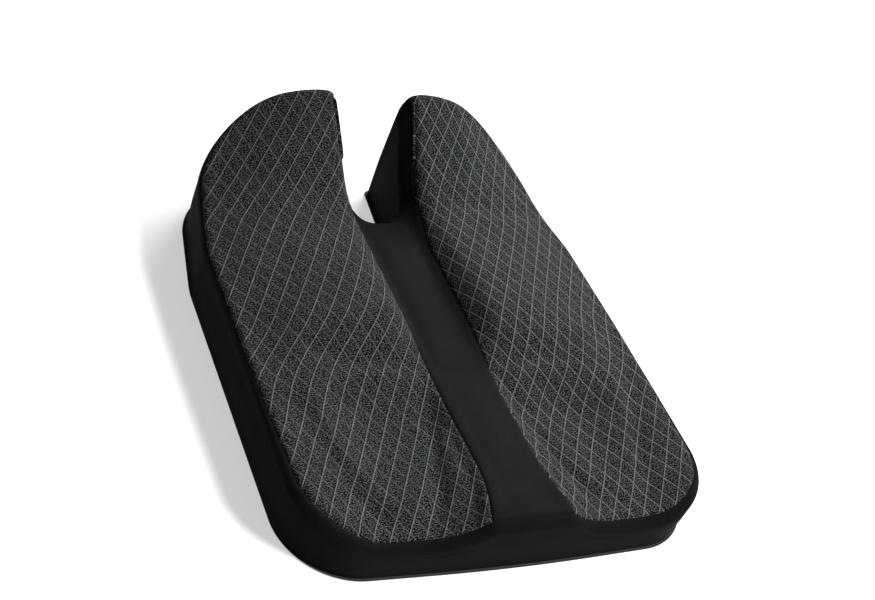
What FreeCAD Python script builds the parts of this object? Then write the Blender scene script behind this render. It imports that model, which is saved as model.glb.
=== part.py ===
"""Contoured foam seat cushion with a removable zipped cover.

Frame: millimetres, origin under the middle of the cushion on the surface it rests on,
+X to the sitter's right, +Y to the rear (the open end of the tailbone notch), +Z up.
"""

import FreeCAD, Part  # noqa: E401  (FreeCAD has to be imported before Part)
import math
import os

import Sketcher

V = FreeCAD.Vector
UP = V(0, 0, 1)

# ------------------------------------------------------------------ driving dimensions

DIMENSIONS = [
    # plan outline, right half: corner points of a polygon and the radii that round them
    ("depth", 448.0, "line of the front corners to the inner rear corners"),
    ("front_bow", 7.0, "how far the middle of the front edge stands forward of its corners"),
    ("front_middle_radius", 2200.0, "rounding of the front edge's middle"),
    ("front_half", 195.0, "half width at the front corners"),
    ("side_half", 186.4, "half width at the widest place"),
    ("side_y", 87.1, "place of the widest point"),
    ("lobe_half", 158.1, "half width at the rear end of a lobe"),
    ("lobe_sweep", 4.2, "how far a lobe's outer rear corner stands behind its inner one"),
    ("mouth_half", 32.8, "half width of the notch at its open end"),
    ("notch_half", 23.2, "half width of the notch at its closed end"),
    ("notch_y", 128.9, "closed end of the notch"),
    ("front_radius", 65.0, "front corners"),
    ("side_radius", 104.2, "sides, where they turn in towards the rear"),
    ("lobe_radius", 84.4, "outer rear corners of the lobes"),
    ("mouth_radius", 12.0, "inner rear corners of the lobes"),
    ("notch_radius", 21.9, "corners of the notch's closed end"),
    # heights of the top
    ("strip_front", 57.8, "centre strip at the front seam: the raised pommel"),
    ("strip_mid", 51.4, "centre strip half way back: the valley"),
    ("strip_notch", 51.7, "centre strip at the notch"),
    ("inner_rear", 99.8, "inner edge of a lobe at the rear"),
    ("crown_1", 39.5, "crown of a thigh panel at the front"),
    ("crown_2", 36.1, "crown a quarter of the way back"),
    ("crown_3", 73.0, "crown half way back"),
    ("crown_4", 69.1, "crown three quarters of the way back"),
    ("crown_5", 134.0, "crown of a lobe at the rear"),
    ("edge_front", 54.3, "outer edge at the front"),
    ("edge_mid", 54.3, "outer edge half way back"),
    ("edge_lobe", 54.5, "outer edge three quarters of the way back"),
    ("edge_rear", 66.5, "outer edge at the rear"),
    ("crown_half_front", 121.3, "distance of the crown from the middle, at the front"),
    ("crown_half_mid", 63.8, "distance of the crown from the middle, half way back"),
    ("crown_half_rear", 48.8, "distance of the crown from the middle, at the rear"),
    ("dome_rear", 0.4, "how much fuller than an even slope a lobe's outer side is at the rear"),
    ("valley_power", 2.5, "how quickly a panel climbs from the strip to its crown"),
    ("strip_half_rear", 31.0, "half width of the strip at the notch"),
    ("strip_half_mid", 29.5, "half width of the strip where it starts to flare"),
    ("strip_half_front", 39.5, "half width of the strip at the front seam"),
    ("flare_length", 60.0, "length of the flare behind the front edge"),
    # edges, cover and foam
    ("shoulder_radius", 10.0, "rounding along the top's edge"),
    ("cover_thickness", 1.5, "band and panel fabric"),
    ("base_thickness", 1.6, "anti-slip fabric under the cushion, dots included"),
    ("foam_gap", 0.25, "between foam and cover"),
    ("seam_inset", 8.0, "seam between band and panels, measured in from the outline"),
    # zip in the right side of the band
    ("zip_start", -136.0, "place along the side of the slider when closed"),
    ("zip_height", 15.5, "centre line of the zip above the base"),
    ("zip_length", 194.0, "length of the chain of teeth"),
    ("tape_width", 10.0, "one tape"),
    ("tape_thickness", 0.6, "one tape"),
    ("tape_gap", 2.6, "between the two tapes"),
    ("tape_tail", 14.0, "tape past either end of the chain"),
    ("slot_height", 10.0, "opening in the band over the zip"),
    ("slot_tail", 10.0, "opening past either end of the chain"),
    ("slot_cut", 4.5, "depth of the tool that cuts the opening, more than the fabric"),
    ("relief_height", 25.0, "recess in the foam behind the zip"),
    ("relief_depth", 3.6, "recess in the foam, from the cover's inner face"),
    ("relief_tail", 18.0, "recess past either end of the chain"),
    ("tooth_pitch", 3.0, "spacing of the teeth on one tape"),
    ("tooth_length", 1.2, "one tooth, along the zip"),
    ("tooth_reach", 0.9, "how far a tooth crosses the centre line"),
    ("tooth_grip", 1.0, "how far a tooth overlaps its tape"),
    ("tooth_depth", 2.4, "one tooth, across the tape's thickness"),
    ("tooth_start", 0.5, "gap between the wedge and the first tooth, and between stop and slider"),
    ("stop_length", 2.4, "top and bottom stops, along the zip"),
    ("slider_length", 10.0, "zip slider"),
    ("slider_width", 8.0, "zip slider"),
    ("slider_plate", 1.0, "thickness of the slider's two plates"),
    ("slider_cavity", 3.0, "space between the slider's plates"),
    ("rail_width", 0.8, "side rails of the slider"),
    ("rail_clearance", 0.3, "between a rail and the tape"),
    ("post_length", 3.0, "wedge that parts the teeth"),
    ("post_width", 2.0, "wedge that parts the teeth"),
    ("lug_length", 3.6, "lug that carries the pull"),
    ("lug_width", 3.0, "lug that carries the pull"),
    ("lug_height", 2.2, "lug that carries the pull"),
    ("pivot_radius", 0.5, "cross bar of the pull"),
    ("pivot_clearance", 0.05, "radial, bar in lug"),
    ("pull_length", 24.0, "zip pull, from its pivot"),
    ("pull_width", 6.4, "zip pull"),
    ("pull_thickness", 0.9, "zip pull"),
    ("pull_arm", 1.3, "side arms of the pull's eye"),
    ("pull_eye", 4.0, "length of the pull's eye"),
    # helper solids that cut and bound the pieces
    ("tall", 200.0, "height of helper solids, more than any part of the cushion"),
]

MARGIN = 25.0  # how far helper shapes reach past the cushion
GRID_X = 30  # spans of the top face's grid, across and along
GRID_Y = 32
STRIP_SPANS = 12  # spans of the centre strip's edge curves


def make_sheet(doc):
    """The driving dimensions as a spreadsheet: name, value, meaning."""
    sheet = doc.addObject("Spreadsheet::Sheet", "dims")
    for row, (alias, value, meaning) in enumerate(DIMENSIONS, start=1):
        sheet.set(f"A{row}", alias)
        sheet.set(f"B{row}", str(value))
        sheet.set(f"C{row}", meaning)
        sheet.setAlias(f"B{row}", alias)
    doc.recompute()
    return sheet


# ------------------------------------------------------------------ shape of the cushion


def smooth(x):
    """Rises from 0 to 1 with level ends."""
    x = min(max(x, 0.0), 1.0)
    return x * x * (3 - 2 * x)


def monotone(xs, ys, x):
    """Cubic through the points (xs, ys) that never overshoots them."""
    x = min(max(x, xs[0]), xs[-1])
    steps = [b - a for a, b in zip(xs, xs[1:])]
    rises = [(b - a) / step for a, b, step in zip(ys, ys[1:], steps)]
    slopes = [rises[0]]
    for i in range(1, len(rises)):
        before, after = rises[i - 1], rises[i]
        if before * after <= 0:
            slopes.append(0.0)
            continue
        w1 = 2 * steps[i] + steps[i - 1]
        w2 = steps[i] + 2 * steps[i - 1]
        slopes.append((w1 + w2) / (w1 / before + w2 / after))
    slopes.append(rises[-1])
    i = max(k for k in range(len(steps)) if x >= xs[k])
    t = (x - xs[i]) / steps[i]
    return (
        (1 + 2 * t) * (1 - t) ** 2 * ys[i]
        + t * (1 - t) ** 2 * steps[i] * slopes[i]
        + t * t * (3 - 2 * t) * ys[i + 1]
        + t * t * (t - 1) * steps[i] * slopes[i + 1]
    )


def perpendicular(heading, to_right):
    """Unit vector square to a heading in plan, to its right or to its left."""
    right = V(heading.y, -heading.x, 0)
    return right if to_right else -right


class Cushion:
    """Plan outline and height of the top, worked out from the sheet."""

    def __init__(self, sheet):
        self.d = {alias: float(sheet.get(alias)) for alias, _, _ in DIMENSIONS}
        self.front = -self.d["depth"] / 2
        self.rear = self.d["depth"] / 2

    def outline(self, inset=0.0):
        """Closed wire of the plan outline, moved in by inset: straight sides and arcs."""
        d = self.d
        half = [
            (d["front_half"], self.front, d["front_radius"]),
            (d["side_half"], d["side_y"], d["side_radius"]),
            (d["lobe_half"], self.rear + d["lobe_sweep"], d["lobe_radius"]),
            (d["mouth_half"], self.rear, d["mouth_radius"]),
            (d["notch_half"], d["notch_y"], d["notch_radius"]),
        ]
        middle = [(0.0, self.front - d["front_bow"], d["front_middle_radius"])]
        corners = middle + half + [(-x, y, radius) for x, y, radius in reversed(half)]
        points = [V(x, y, 0) for x, y, _ in corners]
        count = len(points)
        headings = [(points[(i + 1) % count] - points[i]).normalize() for i in range(count)]
        arcs = []
        for i, (point, (_, _, radius)) in enumerate(zip(points, corners)):
            come, leave = headings[i - 1], headings[i]
            turn = come.getAngle(leave)
            convex = come.cross(leave).z > 0
            inwards = (leave - come).normalize()
            centre = point + inwards * (radius / math.cos(turn / 2))
            reach = radius - inset if convex else radius + inset
            start = centre + perpendicular(come, convex) * reach
            finish = centre + perpendicular(leave, convex) * reach
            arcs.append((start, centre - inwards * reach, finish))
        edges = []
        for i, (start, through, finish) in enumerate(arcs):
            edges.append(Part.Arc(start, through, finish).toShape())
            edges.append(Part.LineSegment(finish, arcs[(i + 1) % count][0]).toShape())
        return Part.Wire(edges)

    def strip_half(self, y):
        """Half width of the centre strip."""
        d = self.d
        return monotone(
            [self.front, self.front + d["flare_length"], d["notch_y"]],
            [d["strip_half_front"], d["strip_half_mid"], d["strip_half_rear"]],
            y,
        )

    def top(self, x, y):
        """Height of the top before its edges are rounded."""
        d = self.d
        mid = (self.front + d["notch_y"]) / 2
        strip = monotone(
            [self.front, mid, d["notch_y"], self.rear],
            [d["strip_front"], d["strip_mid"], d["strip_notch"], d["inner_rear"]],
            y,
        )
        quarters = [self.front + k * d["depth"] / 4 for k in range(5)]
        crown = monotone(quarters, [d[f"crown_{k}"] for k in range(1, 6)], y)
        edge = monotone(
            [self.front, 0.0, self.rear / 2, self.rear],
            [d["edge_front"], d["edge_mid"], d["edge_lobe"], d["edge_rear"]],
            y,
        )
        crown_half = monotone(
            [self.front, 0.0, self.rear],
            [d["crown_half_front"], d["crown_half_mid"], d["crown_half_rear"]],
            y,
        )
        half = self.strip_half(y)
        climb = min(max((abs(x) - half) / (crown_half - half), 0.0), 1.0)
        height = strip + (crown - strip) * (1 - (1 - climb) ** d["valley_power"])
        out = min(max((abs(x) - crown_half) / (d["side_half"] - crown_half), 0.0), 1.0)
        dome = d["dome_rear"] * min(max((y - self.front) / d["depth"], 0.0), 1.0)
        fall = (1 - dome) * smooth(out) + dome * out ** 3
        return height + (edge - crown) * fall

    def top_face(self, drop):
        """The top as one smooth face over the whole plan, lowered by drop."""
        span_x = self.d["side_half"] + MARGIN
        span_y = self.rear + MARGIN
        xs = [span_x * (2 * i / GRID_X - 1) for i in range(GRID_X + 1)]
        ys = [span_y * (2 * j / GRID_Y - 1) for j in range(GRID_Y + 1)]
        surface = Part.BSplineSurface()
        surface.interpolate([[V(x, y, self.top(x, y) - drop) for y in ys] for x in xs])
        return surface.toShape()


def feature(doc, name, shape):
    """A document object with a shape worked out in code."""
    made = doc.addObject("Part::Feature", name)
    made.Shape = shape
    return made


def rounded_blank(doc, cushion, name, inset, drop, floor):
    """Solid inside the outline and under the top, with its top edge rounded."""
    tall = cushion.d["tall"]
    plan = Part.Face(cushion.outline(inset))
    plan.translate(UP * floor)
    under = cushion.top_face(drop).extrude(-UP * tall)
    solid = plan.extrude(UP * tall).common(under).Solids[0]
    blank = feature(doc, name + "_blank", solid)
    top = max(
        (face for face in solid.Faces if isinstance(face.Surface, Part.BSplineSurface)),
        key=lambda face: face.Area,
    )
    radius = cushion.d["shoulder_radius"] - inset
    rim = [
        (number, radius, radius)
        for number, edge in enumerate(solid.Edges, start=1)
        if any(edge.isSame(other) for other in top.OuterWire.Edges)
    ]
    rounded = doc.addObject("Part::Fillet", name)
    rounded.Base = blank
    rounded.Edges = rim
    return rounded


def prism(doc, name, wire, height="dims.tall"):
    """Upright solid over a closed wire, from the base up."""
    plan = feature(doc, name + "_plan", Part.Face(wire))
    made = doc.addObject("Part::Extrusion", name)
    made.Base = plan
    made.DirMode = "Custom"
    made.Dir = UP
    made.Solid = True
    made.setExpression("LengthFwd", height)
    return made


def boolean(doc, kind, name, base, tool):
    """Part::Cut or Part::Common of two objects."""
    made = doc.addObject("Part::" + kind, name)
    made.Base = base
    made.Tool = tool
    return made


def fuse(doc, name, shapes):
    made = doc.addObject("Part::MultiFuse", name)
    made.Shapes = shapes
    return made


def box(doc, name, corner, size):
    """Part::Box from expressions for its lowest corner and its size."""
    made = doc.addObject("Part::Box", name)
    for prop, expression in zip(("Length", "Width", "Height"), size):
        made.setExpression(prop, expression)
    for axis, expression in zip("xyz", corner):
        made.setExpression("Placement.Base." + axis, expression)
    return made


def strip_outline(cushion):
    """Plan of the centre strip, from in front of the cushion to inside the notch."""
    d = cushion.d
    end = d["notch_y"] + d["notch_radius"] / 2
    begin = cushion.front - MARGIN
    stations = [begin + (end - begin) * k / STRIP_SPANS for k in range(STRIP_SPANS + 1)]
    right = Part.BSplineCurve()
    right.interpolate([V(cushion.strip_half(y), y, 0) for y in stations])
    left = Part.BSplineCurve()
    left.interpolate([V(-cushion.strip_half(y), y, 0) for y in reversed(stations)])
    rear = Part.LineSegment(right.EndPoint, left.StartPoint)
    front = Part.LineSegment(left.EndPoint, right.StartPoint)
    return Part.Wire([c.toShape() for c in (right, rear, left, front)])


# ------------------------------------------------------------------ cover and foam


def make_cover_and_foam(doc, cushion, zip_place):
    """The sewn pieces of the cover and the foam core inside it."""
    d = cushion.d
    cover, base = d["cover_thickness"], d["base_thickness"]
    outer = rounded_blank(doc, cushion, "cover_outer", 0.0, 0.0, base)
    inner = rounded_blank(doc, cushion, "cover_inner", cover, cover, 0.0)
    shell = boolean(doc, "Cut", "cover_shell", outer, inner)

    inside_seam = prism(doc, "inside_seam", cushion.outline(d["seam_inset"]))
    strip_zone = prism(doc, "strip_zone", strip_outline(cushion))
    notch_zone = box(
        doc,
        "notch_zone",
        ("-dims.mouth_half - dims.mouth_radius / 2", "dims.notch_y - dims.notch_radius", "0"),
        ("2 * dims.mouth_half + dims.mouth_radius", "dims.depth", "dims.tall"),
    )
    right_zone = box(
        doc, "right_zone", ("0", "-dims.depth", "0"), ("dims.depth", "2 * dims.depth", "dims.tall")
    )
    slot = box(
        doc,
        "zip_slot",
        ("-dims.slot_tail", "-dims.cover_thickness", "-dims.slot_height / 2"),
        ("dims.zip_length + 2 * dims.slot_tail", "dims.slot_cut", "dims.slot_height"),
    )
    relief = box(
        doc,
        "zip_relief",
        ("-dims.relief_tail", "0", "-dims.relief_height / 2"),
        (
            "dims.zip_length + 2 * dims.relief_tail",
            "dims.cover_thickness + dims.relief_depth",
            "dims.relief_height",
        ),
    )
    slot_placed = placed(doc, slot, zip_place)
    relief_placed = placed(doc, relief, zip_place)

    top = boolean(doc, "Common", "top_zone", shell, inside_seam)
    ring = boolean(doc, "Cut", "ring_zone", shell, inside_seam)
    panels = boolean(doc, "Cut", "panels", top, strip_zone)
    notch_ring = boolean(doc, "Common", "notch_ring", ring, notch_zone)
    notch_sides = boolean(doc, "Cut", "notch_sides", notch_ring, strip_zone)
    outer_ring = boolean(doc, "Cut", "outer_ring", ring, notch_zone)
    strip_top = boolean(doc, "Common", "strip_top", top, strip_zone)
    strip_end = boolean(doc, "Common", "strip_end", notch_ring, strip_zone)
    foam = rounded_blank(
        doc, cushion, "foam_blank", cover + d["foam_gap"], cover + d["foam_gap"], base
    )
    bottom = prism(doc, "bottom_panel", cushion.outline(), "dims.base_thickness")
    return {
        "bottom_panel": bottom,
        "foam_core": boolean(doc, "Cut", "foam_core", foam, relief_placed),
        "right_panel": boolean(doc, "Common", "right_panel", panels, right_zone),
        "left_panel": boolean(doc, "Cut", "left_panel", panels, right_zone),
        "centre_strip": fuse(doc, "centre_strip", [strip_top, strip_end]),
        "cutout_band_right": boolean(doc, "Common", "cutout_band_right", notch_sides, right_zone),
        "cutout_band_left": boolean(doc, "Cut", "cutout_band_left", notch_sides, right_zone),
        "outer_band": boolean(doc, "Cut", "outer_band", outer_ring, slot_placed),
    }


def placed(doc, piece, place):
    """A piece of the zip's own frame, moved to the side of the cushion."""
    made = doc.addObject("Part::Compound", piece.Name + "_placed")
    made.Links = [piece]
    made.Placement = place
    return made


# ------------------------------------------------------------------ zip
# The zip's own frame: x along the side towards the rear, y into the cushion from the
# band's outer face, z up, with the origin at the closed slider's middle.

TAPE_MIDDLE = "(dims.cover_thickness + dims.tape_thickness / 2)"
PIVOT_Y = (
    f"({TAPE_MIDDLE} - dims.slider_cavity / 2 - dims.slider_plate - dims.lug_height / 2)"
)


def polygon_sketch(body, role, corners):
    """Closed sketch on one of the body's own planes, each corner set by two expressions."""
    plane = next(f for f in body.Origin.OriginFeatures if f.Role == role)
    sketch = body.newObject("Sketcher::SketchObject", body.Name + "_profile")
    sketch.AttachmentSupport = (plane, [""])
    sketch.MapMode = "FlatFace"
    sheet = body.Document.getObject("dims")
    values = [tuple(sheet_value(sheet, text) for text in corner) for corner in corners]
    count = len(corners)
    for i, (x, y) in enumerate(values):
        x2, y2 = values[(i + 1) % count]
        sketch.addGeometry(Part.LineSegment(V(x, y, 0), V(x2, y2, 0)), False)
    for i in range(count):
        sketch.addConstraint(Sketcher.Constraint("Coincident", i, 2, (i + 1) % count, 1))
    for i, (corner, value) in enumerate(zip(corners, values)):
        for kind, text, number in zip(("DistanceX", "DistanceY"), corner, value):
            index = sketch.addConstraint(Sketcher.Constraint(kind, i, 1, number))
            sketch.setExpression(f"Constraints[{index}]", text)
    return sketch


def sheet_value(sheet, text):
    """Value of an expression over the sheet, for a sketch's starting geometry."""
    return float(sheet.evalExpression(text.replace("dims.", "")))


def grip_profile(side, reach, grip):
    """Corners, across the zip, of a piece that clamps the edge of one tape."""
    s = "" if side > 0 else "-"
    outer = f"{TAPE_MIDDLE} - dims.tooth_depth / 2"
    inner = f"{TAPE_MIDDLE} + dims.tooth_depth / 2"
    face_out = "dims.cover_thickness"
    face_in = "dims.cover_thickness + dims.tape_thickness"
    tip = f"{s}({reach})"
    edge = f"{s}(dims.tape_gap / 2)"
    heel = f"{s}(dims.tape_gap / 2 + {grip})"
    return [
        (outer, tip),
        (inner, tip),
        (inner, heel),
        (face_in, heel),
        (face_in, edge),
        (face_out, edge),
        (face_out, heel),
        (outer, heel),
    ]


def tape_profile(side):
    """Corners of one tape across the zip."""
    s = "" if side > 0 else "-"
    edge = f"{s}(dims.tape_gap / 2)"
    selvedge = f"{s}(dims.tape_gap / 2 + dims.tape_width)"
    near = "dims.cover_thickness"
    far = "dims.cover_thickness + dims.tape_thickness"
    return [(near, edge), (far, edge), (far, selvedge), (near, selvedge)]


def padded_body(doc, name, corners, length, place, along):
    """Body of a profile across the zip, padded along it and set down at a distance along."""
    body = doc.addObject("PartDesign::Body", name)
    body.AllowCompound = True
    sketch = polygon_sketch(body, "YZ_Plane", corners)
    pad = body.newObject("PartDesign::Pad", name + "_pad")
    pad.Profile = sketch
    pad.setExpression("Length", length)
    body.Placement = place * FreeCAD.Placement(V(along, 0, 0), FreeCAD.Rotation())
    return body, pad


def make_row(doc, name, side, place, along):
    """Row of teeth on one tape; the two rows stand half a pitch apart and interlock."""
    corners = grip_profile(side, "-dims.tooth_reach", "dims.tooth_grip")
    body, pad = padded_body(doc, name, corners, "dims.tooth_length", place, along)
    doc.recompute()
    axis = next(f for f in body.Origin.OriginFeatures if f.Role == "X_Axis")
    row = body.newObject("PartDesign::LinearPattern", name + "_pattern")
    row.Originals = [pad]
    row.Direction = (axis, [""])
    row.Mode = "Spacing"
    row.setExpression("Offset", "dims.tooth_pitch")
    row.setExpression("Occurrences", "floor(dims.zip_length / dims.tooth_pitch) + 1")
    body.Tip = row
    return body


def make_slider(doc, place):
    """Zip slider: two plates, four rails, the wedge between them and the lug of the pull."""
    length, width = "dims.slider_length", "dims.slider_width"
    front, low = f"-{length} / 2", f"-{width} / 2"
    rail_high = f"{width} / 2 - dims.rail_width"
    outer_face = f"{TAPE_MIDDLE} - dims.slider_cavity / 2"
    inner_face = f"{TAPE_MIDDLE} + dims.slider_cavity / 2"
    rail_depth = "(dims.slider_cavity - dims.tape_thickness) / 2 - dims.rail_clearance"
    inner_rail = f"{inner_face} - ({rail_depth})"
    outer_plate = f"{outer_face} - dims.slider_plate"
    pieces = [
        box(doc, "outer_plate", (front, outer_plate, low), (length, "dims.slider_plate", width)),
        box(doc, "inner_plate", (front, inner_face, low), (length, "dims.slider_plate", width)),
        box(
            doc,
            "slider_post",
            (front, outer_face, "-dims.post_width / 2"),
            ("dims.post_length", "dims.slider_cavity", "dims.post_width"),
        ),
        box(
            doc,
            "pull_lug",
            ("-dims.lug_length / 2", f"{outer_plate} - dims.lug_height", "-dims.lug_width / 2"),
            ("dims.lug_length", "dims.lug_height", "dims.lug_width"),
        ),
    ]
    for rail, (start, height) in enumerate(
        [(outer_face, low), (outer_face, rail_high), (inner_rail, low), (inner_rail, rail_high)]
    ):
        size = (length, rail_depth, "dims.rail_width")
        pieces.append(box(doc, f"slider_rail_{rail}", (front, start, height), size))
    solid = fuse(doc, "slider_solid", pieces)
    bore = doc.addObject("Part::Cylinder", "pull_bore")
    bore.setExpression("Radius", "dims.pivot_radius + dims.pivot_clearance")
    bore.setExpression("Height", "2 * dims.lug_width")
    bore.setExpression("Placement.Base.y", PIVOT_Y)
    bore.setExpression("Placement.Base.z", "-dims.lug_width")
    slider = boolean(doc, "Cut", "zip_slider", solid, bore)
    slider.Placement = place
    return slider


def make_pull(doc, place):
    """Flat zip pull with a rounded end, an eye and the cross bar it turns on."""
    half, thickness = "dims.pull_width / 2", "dims.pull_thickness"
    back = f"{PIVOT_Y} - {thickness} / 2"
    tab = box(
        doc,
        "pull_tab",
        ("0", back, f"-{half}"),
        (f"dims.pull_length - {half}", thickness, "dims.pull_width"),
    )
    end = doc.addObject("Part::Cylinder", "pull_end")
    end.setExpression("Radius", half)
    end.setExpression("Height", thickness)
    end.Placement = FreeCAD.Placement(V(0, 0, 0), FreeCAD.Rotation(V(1, 0, 0), -90))
    end.setExpression("Placement.Base.x", f"dims.pull_length - {half}")
    end.setExpression("Placement.Base.y", back)
    eye = box(
        doc,
        "pull_eye",
        ("-dims.pull_eye", f"{PIVOT_Y} - {thickness}", f"-{half} + dims.pull_arm"),
        ("2 * dims.pull_eye", f"2 * {thickness}", "dims.pull_width - 2 * dims.pull_arm"),
    )
    bar = doc.addObject("Part::Cylinder", "pull_bar")
    bar.setExpression("Radius", "dims.pivot_radius")
    bar.setExpression("Height", "dims.pull_width")
    bar.setExpression("Placement.Base.y", PIVOT_Y)
    bar.setExpression("Placement.Base.z", f"-{half}")
    flat = fuse(doc, "pull_flat", [tab, end])
    frame = boolean(doc, "Cut", "pull_frame", flat, eye)
    pull = fuse(doc, "zip_pull", [frame, bar])
    pull.Placement = place
    return pull


def make_zip(doc, cushion, place):
    """All the pieces of the zip, with its slider closed."""
    d = cushion.d
    first_tooth = d["post_length"] - d["slider_length"] / 2 + d["tooth_start"]
    front_stop = -d["slider_length"] / 2 - d["stop_length"] - d["tooth_start"]
    nodes = {}
    for side, where, shift in ((1, "upper", 0.0), (-1, "lower", d["tooth_pitch"] / 2)):
        nodes["zip_tape_" + where], _ = padded_body(
            doc,
            "zip_tape_" + where,
            tape_profile(side),
            "dims.zip_length + 2 * dims.tape_tail",
            place,
            -d["tape_tail"],
        )
        nodes["zip_teeth_" + where] = make_row(
            doc, "zip_teeth_" + where, side, place, first_tooth + shift
        )
        nodes["zip_top_stop_" + where], _ = padded_body(
            doc,
            "zip_top_stop_" + where,
            grip_profile(side, "dims.tooth_start", "dims.tooth_grip"),
            "dims.stop_length",
            place,
            front_stop,
        )
    halves = [
        padded_body(
            doc,
            f"bottom_stop_{side}",
            grip_profile(side, "0", "dims.tooth_grip"),
            "dims.stop_length",
            FreeCAD.Placement(),
            d["zip_length"],
        )[0]
        for side in (1, -1)
    ]
    bottom_stop = fuse(doc, "zip_bottom_stop", halves)
    bottom_stop.Placement = place
    nodes["zip_bottom_stop"] = bottom_stop
    nodes["zip_slider"] = make_slider(doc, place)
    nodes["zip_pull"] = make_pull(doc, place)
    return nodes


# ------------------------------------------------------------------ whole model


def side_place(cushion):
    """Placement of the zip's own frame on the right side of the band."""
    d = cushion.d
    corner = V(d["front_half"], cushion.front, 0)
    along = (V(d["side_half"], d["side_y"], 0) - corner).normalize()
    base = corner + along * ((d["zip_start"] - cushion.front) / along.y)
    heading = math.degrees(math.atan2(along.y, along.x))
    return FreeCAD.Placement(base + UP * d["zip_height"], FreeCAD.Rotation(UP, heading))


def check(doc, nodes):
    """Stops if any object failed or any piece isn't a valid solid."""
    for made in doc.Objects:
        if {"Invalid", "Error"} & set(made.State):
            raise RuntimeError(f"{made.Name} failed: {made.State}")
    for label, node in nodes.items():
        shape = node.Shape
        if shape.isNull() or not shape.isValid() or not shape.Solids or shape.Volume <= 0:
            raise RuntimeError(f"{label} is not a valid solid")


def main():
    doc = FreeCAD.newDocument("seat_cushion")
    cushion = Cushion(make_sheet(doc))
    place = side_place(cushion)
    nodes = make_cover_and_foam(doc, cushion, place)
    nodes.update(make_zip(doc, cushion, place))
    for label, node in nodes.items():
        node.Label = label
    doc.recompute()
    check(doc, nodes)
    os.makedirs("parts", exist_ok=True)
    for label, node in nodes.items():
        node.Shape.exportStep(f"parts/{label}.step")
        size = node.Shape.BoundBox
        print(
            f"{label}: {len(node.Shape.Solids)} solid(s), {node.Shape.Volume / 1000:.2f} cm3, "
            f"x {size.XMin:.1f}..{size.XMax:.1f}, y {size.YMin:.1f}..{size.YMax:.1f}, "
            f"z {size.ZMin:.1f}..{size.ZMax:.1f}"
        )
    print("zip runs along", place.Rotation.multVec(V(1, 0, 0)), "from", place.Base)


main()
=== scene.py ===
"""Contoured seat cushion: the covered foam, its seams, its fabrics and its zip.

Metres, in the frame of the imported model: origin under the middle of the cushion, +X to the
sitter's right, +Y to the rear, +Z up.
"""
import math

import bmesh
import bpy
import numpy as np
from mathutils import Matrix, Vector
from mathutils.kdtree import KDTree


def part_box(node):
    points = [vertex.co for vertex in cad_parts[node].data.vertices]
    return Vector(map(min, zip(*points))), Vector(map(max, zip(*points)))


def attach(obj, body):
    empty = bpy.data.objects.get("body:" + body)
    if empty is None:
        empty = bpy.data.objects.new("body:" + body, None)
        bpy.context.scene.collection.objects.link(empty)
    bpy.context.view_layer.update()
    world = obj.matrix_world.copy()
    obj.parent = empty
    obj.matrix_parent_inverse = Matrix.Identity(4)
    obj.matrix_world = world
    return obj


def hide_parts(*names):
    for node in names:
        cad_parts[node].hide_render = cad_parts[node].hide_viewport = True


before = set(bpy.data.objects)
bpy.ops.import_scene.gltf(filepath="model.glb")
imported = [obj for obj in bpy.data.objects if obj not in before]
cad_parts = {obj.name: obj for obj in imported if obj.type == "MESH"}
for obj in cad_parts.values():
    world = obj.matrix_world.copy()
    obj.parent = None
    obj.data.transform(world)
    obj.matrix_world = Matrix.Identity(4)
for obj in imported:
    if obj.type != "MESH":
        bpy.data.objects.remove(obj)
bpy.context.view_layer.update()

MM = 0.001
NEARLY = 1e-6  # slack when places or heights are compared

# ------------------------------------------------------------------ camera

CAMERA_PLACE = (-0.69801, -0.84168, 0.93186)
CAMERA_TURN = (48.8531, -20.0508, -22.7877)
CAMERA_LENS = 66.88
SENSOR_WIDTH = 36.0

# ------------------------------------------------------------------ studio

FLOOR_HALF = 4.0
SKY_STRENGTH = 0.24
LIGHT_TARGET = (0.0, 0.0, 0.05)

# ------------------------------------------------------------------ sizes

TAPE_LOW, TAPE_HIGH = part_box("zip_tape_upper")

# plan outline, right half: corner points and the radii that round them
DEPTH = 448 * MM
FRONT = -DEPTH / 2
REAR = DEPTH / 2
FRONT_CORNER = (0.0, FRONT - 7 * MM, 2200 * MM)
NOTCH_Y = 128.9 * MM
SIDE_HALF = 186.4 * MM
RIGHT_CORNERS = [
    (195.0 * MM, FRONT, 65 * MM),
    (SIDE_HALF, 87.1 * MM, 104.2 * MM),
    (158.1 * MM, REAR + 4.2 * MM, 84.4 * MM),
    (32.8 * MM, REAR, 8.2 * MM),
    (23.2 * MM, NOTCH_Y, 21.9 * MM),
]

# places on the outline: arcs have even numbers and lines odd ones, in turn
FRONT_MIDDLE, CORNER_START, CORNER_MIDDLE, SIDE_START, SIDE_END = 0.5, 2.0, 2.5, 3.0, 4.0
LOBE_MIDDLE, MOUTH_START, MOUTH_MIDDLE, MOUTH_END = 6.5, 8.0, 8.5, 9.0
NOTCH_MIDDLE = 11.5
STRIP_SPLIT = 10.22  # where the centre strip's edges meet the notch
TIGHTEST = 1.5 * MM  # radius that a corner keeps however far it is inset

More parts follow.
